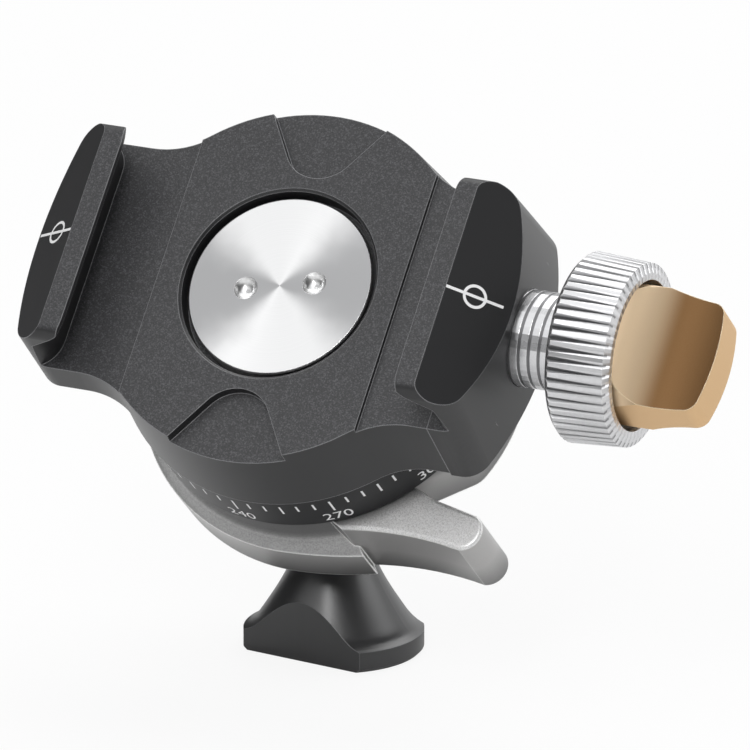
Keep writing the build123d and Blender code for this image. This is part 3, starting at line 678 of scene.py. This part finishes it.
def make_number(value, radius, base, material):
    """A number wrapped round the degree ring, read from outside with the platform up."""
    curve = bpy.data.curves.new("number", "FONT")
    curve.body = str(value)
    curve.align_x = "CENTER"
    curve.size = DIGIT_HEIGHT / DIGIT_HEIGHT_SHARE
    curve.resolution_u = 4
    flat = bpy.data.objects.new("number", curve)
    bpy.context.scene.collection.objects.link(flat)
    bpy.context.view_layer.update()
    mesh = bpy.data.meshes.new_from_object(flat.evaluated_get(bpy.context.evaluated_depsgraph_get()))
    bpy.data.objects.remove(flat)
    for vertex in mesh.vertices:
        turn = math.degrees(vertex.co.x * DIGIT_STRETCH / radius)
        place = ring_point(radius, value + SCALE_TURN + turn, base + vertex.co.y)
        vertex.co = HEAD @ (Vector(place) * MM)
    new_piece("scale_number_%d" % value, mesh, material, "housing")


def make_scale(material):
    low, high = head_size("degree_ring")
    radius = high.x + INK_PROUD
    make_ticks(radius, high.z - TICK_TOP, material)
    for value in range(0, 360, NUMBER_STEP):
        make_number(value, radius, low.z + DIGIT_BASE, material)


# --- The centre marks on the jaws ----------------------------------------------------------
RIGHT, LEFT = 1, -1
MARK_OFFSET = 21.3
MARK_WIDTH = 0.28
MARK_STEPS = 48
MARK_RING_ACROSS = 1.0
MARK_RING_DOWN = {RIGHT: 1.05, LEFT: 1.22}  # the rings' radii down the slope
MARK_LINE = {RIGHT: (-2.2, 2.2), LEFT: (-2.7, 2.2)}  # both ends, along X from the ring's middle
MARK_TURN = {RIGHT: 3.3, LEFT: -6.2}  # degrees, of the line seen from above
JAW_NODE = {RIGHT: "movable_jaw", LEFT: "clamp_body"}


def jaw_top(side):
    """The level of a jaw's top, the crease between it and the facet, and the facet's fall."""
    turn = TO_HEAD.to_3x3()
    facets = []
    for face in frame["nodes"][JAW_NODE[side]].data.polygons:
        normal = turn @ face.normal
        leans_outwards = side * normal.x > 0.3 and normal.z > 0.5 and abs(normal.y) < 0.1
        if leans_outwards:
            facets.append((face.area, face.index, TO_HEAD @ face.center / MM, normal))
    on_facet, normal = max(facets, key=lambda facet: (facet[0], -facet[1]))[2:]
    fall = side * normal.x / normal.z
    level = head_size(JAW_NODE[side])[1].z
    crease = side * on_facet.x - (level - on_facet.z) / fall
    return level, crease, fall


def make_centre_mark(side, name, body, material):
    """The white circle with a line through it on a jaw's facet."""
    level, crease, fall = jaw_top(side)

    def on_facet(x, y, proud):
        return Vector((x, y, level - (side * x - crease) * fall + proud))

    middle = side * MARK_OFFSET
    slope = math.hypot(1.0, fall)
    points, faces = [], []
    for i in range(MARK_STEPS):
        angle = 2 * math.pi * i / MARK_STEPS
        for offset in (-MARK_WIDTH / 2, MARK_WIDTH / 2):
            along = (MARK_RING_DOWN[side] + offset) * math.cos(angle) / slope
            aside = (MARK_RING_ACROSS + offset) * math.sin(angle)
            points.append(on_facet(middle + along, aside, INK_PROUD))
        j = (i + 1) % MARK_STEPS
        faces.append((2 * i, 2 * i + 1, 2 * j + 1, 2 * j))
    turn = math.tan(math.radians(MARK_TURN[side]))
    first = len(points)
    for stop, offset in zip(2 * MARK_LINE[side], (-1, -1, 1, 1)):
        aside = stop * turn + offset * MARK_WIDTH / 2
        points.append(on_facet(middle + stop, aside, 2 * INK_PROUD))
    faces.append((first, first + 1, first + 3, first + 2))
    new_piece(name, head_mesh(name, points, faces), material, body)


# --- Threads -------------------------------------------------------------------------------
THREAD_STEPS = 40  # for each turn
THREAD_FADE = 0.5  # turns over which a thread's height runs out at its ends
THREAD_LEAST = 0.02  # share of the height that is left at the ends
THREAD_OVERLAP = 0.02  # mm that the clamp screw's thread is sunk into its core

SCREW_PITCH = 1.0
SCREW_CREST = 0.03  # proud of the screw; the jaw slides over it, and its bore leaves 0.05 mm
SCREW_WIDTHS = (0.39, 0.34)
SCREW_START = 1.3  # inside the jaw
SCREW_END = 0.5  # inside the wheel

TRIPOD_PITCH = 25.4 / 20
TRIPOD_RADIUS = 3.175  # the insert's wall
TRIPOD_WIDTHS = (0.42, 0.08)
TRIPOD_DEPTH = 0.45
TRIPOD_OVERLAP = 0.01
TRIPOD_END = 0.1  # from the insert's faces


def make_thread(name, place, span, radii, pitch, hand, widths, material, body):
    """A closed helical ridge; place maps (along, radius, angle) to the part's frame.

    radii are the root's and the crest's, and widths are half of each as shares of the pitch.
    """
    start, end = span
    root, crest = radii
    half_root, half_crest = (share * pitch for share in widths)
    turns = (end - start) / pitch
    count = int(turns * THREAD_STEPS)
    points, faces = [], []
    for i in range(count + 1):
        turn = i / THREAD_STEPS
        fade = min(1.0, turn / THREAD_FADE, (turns - turn) / THREAD_FADE)
        height = root + (crest - root) * max(THREAD_LEAST, fade)
        profile = ((-half_root, root), (-half_crest, height), (half_crest, height), (half_root, root))
        for along, radius in profile:
            spot = min(max(start + turn * pitch + along, start), end)
            points.append(place(spot, radius, hand * 2 * math.pi * turn))
        if i:
            a, b = 4 * (i - 1), 4 * i
            for k in range(4):
                following = (k + 1) % 4
                faces.append((a + k, a + following, b + following, b + k))
    faces += [(3, 2, 1, 0), tuple(range(4 * count, 4 * count + 4))]
    mesh = bpy.data.meshes.new(name)
    mesh.from_pydata(points, [], faces)
    mesh.validate()
    bm = bmesh.new()
    bm.from_mesh(mesh)
    bmesh.ops.recalc_face_normals(bm, faces=bm.faces)
    bm.to_mesh(mesh)
    bm.free()
    new_piece(name, mesh, material, body)


def make_neck_thread(material):
    """The clamp screw's thread, from inside the jaw to inside the wheel: broad, low crests."""
    jaw_high = head_size("movable_jaw")[1]
    wheel_low = head_size("knurled_wheel")[0]
    screw_low, screw_high = head_size("clamp_screw")
    core = (screw_high.y - screw_low.y) / 2

    def about_knob(along, radius, angle):
        point = Vector((along, radius * math.cos(angle), knob_level + radius * math.sin(angle)))
        return HEAD @ (point * MM)

    span = (jaw_high.x - SCREW_START, wheel_low.x + SCREW_END)
    radii = (core - THREAD_OVERLAP, core + SCREW_CREST)
    make_thread("neck_thread", about_knob, span, radii, SCREW_PITCH, -1, SCREW_WIDTHS, material, "knob")


def make_foot_thread(material):
    """The 1/4 inch thread inside the foot's insert."""
    low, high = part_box("foot_thread_insert")

    def inside_foot(along, radius, angle):
        return Vector((radius * math.cos(angle), radius * math.sin(angle), along)) * MM

    span = (low[2] / MM + TRIPOD_END, high[2] / MM - TRIPOD_END)
    radii = (TRIPOD_RADIUS + TRIPOD_OVERLAP, TRIPOD_RADIUS - TRIPOD_DEPTH)
    make_thread("tripod_thread", inside_foot, span, radii, TRIPOD_PITCH, 1, TRIPOD_WIDTHS, material, "foot")


def dress():
    make_anodised()
    make_turned()
    make_plastics()
    add_material(ink, "white_ink", colour=(0.86, 0.86, 0.86))
    dress_nodes()
    make_scale(materials["white_ink"])
    make_centre_mark(RIGHT, "centre_mark_right", "jaw", materials["white_ink"])
    make_centre_mark(LEFT, "centre_mark_left", "clamp", materials["white_ink"])
    make_neck_thread(materials["silver_aluminium"])
    make_foot_thread(materials["steel"])


make_camera()
make_studio()
dress()
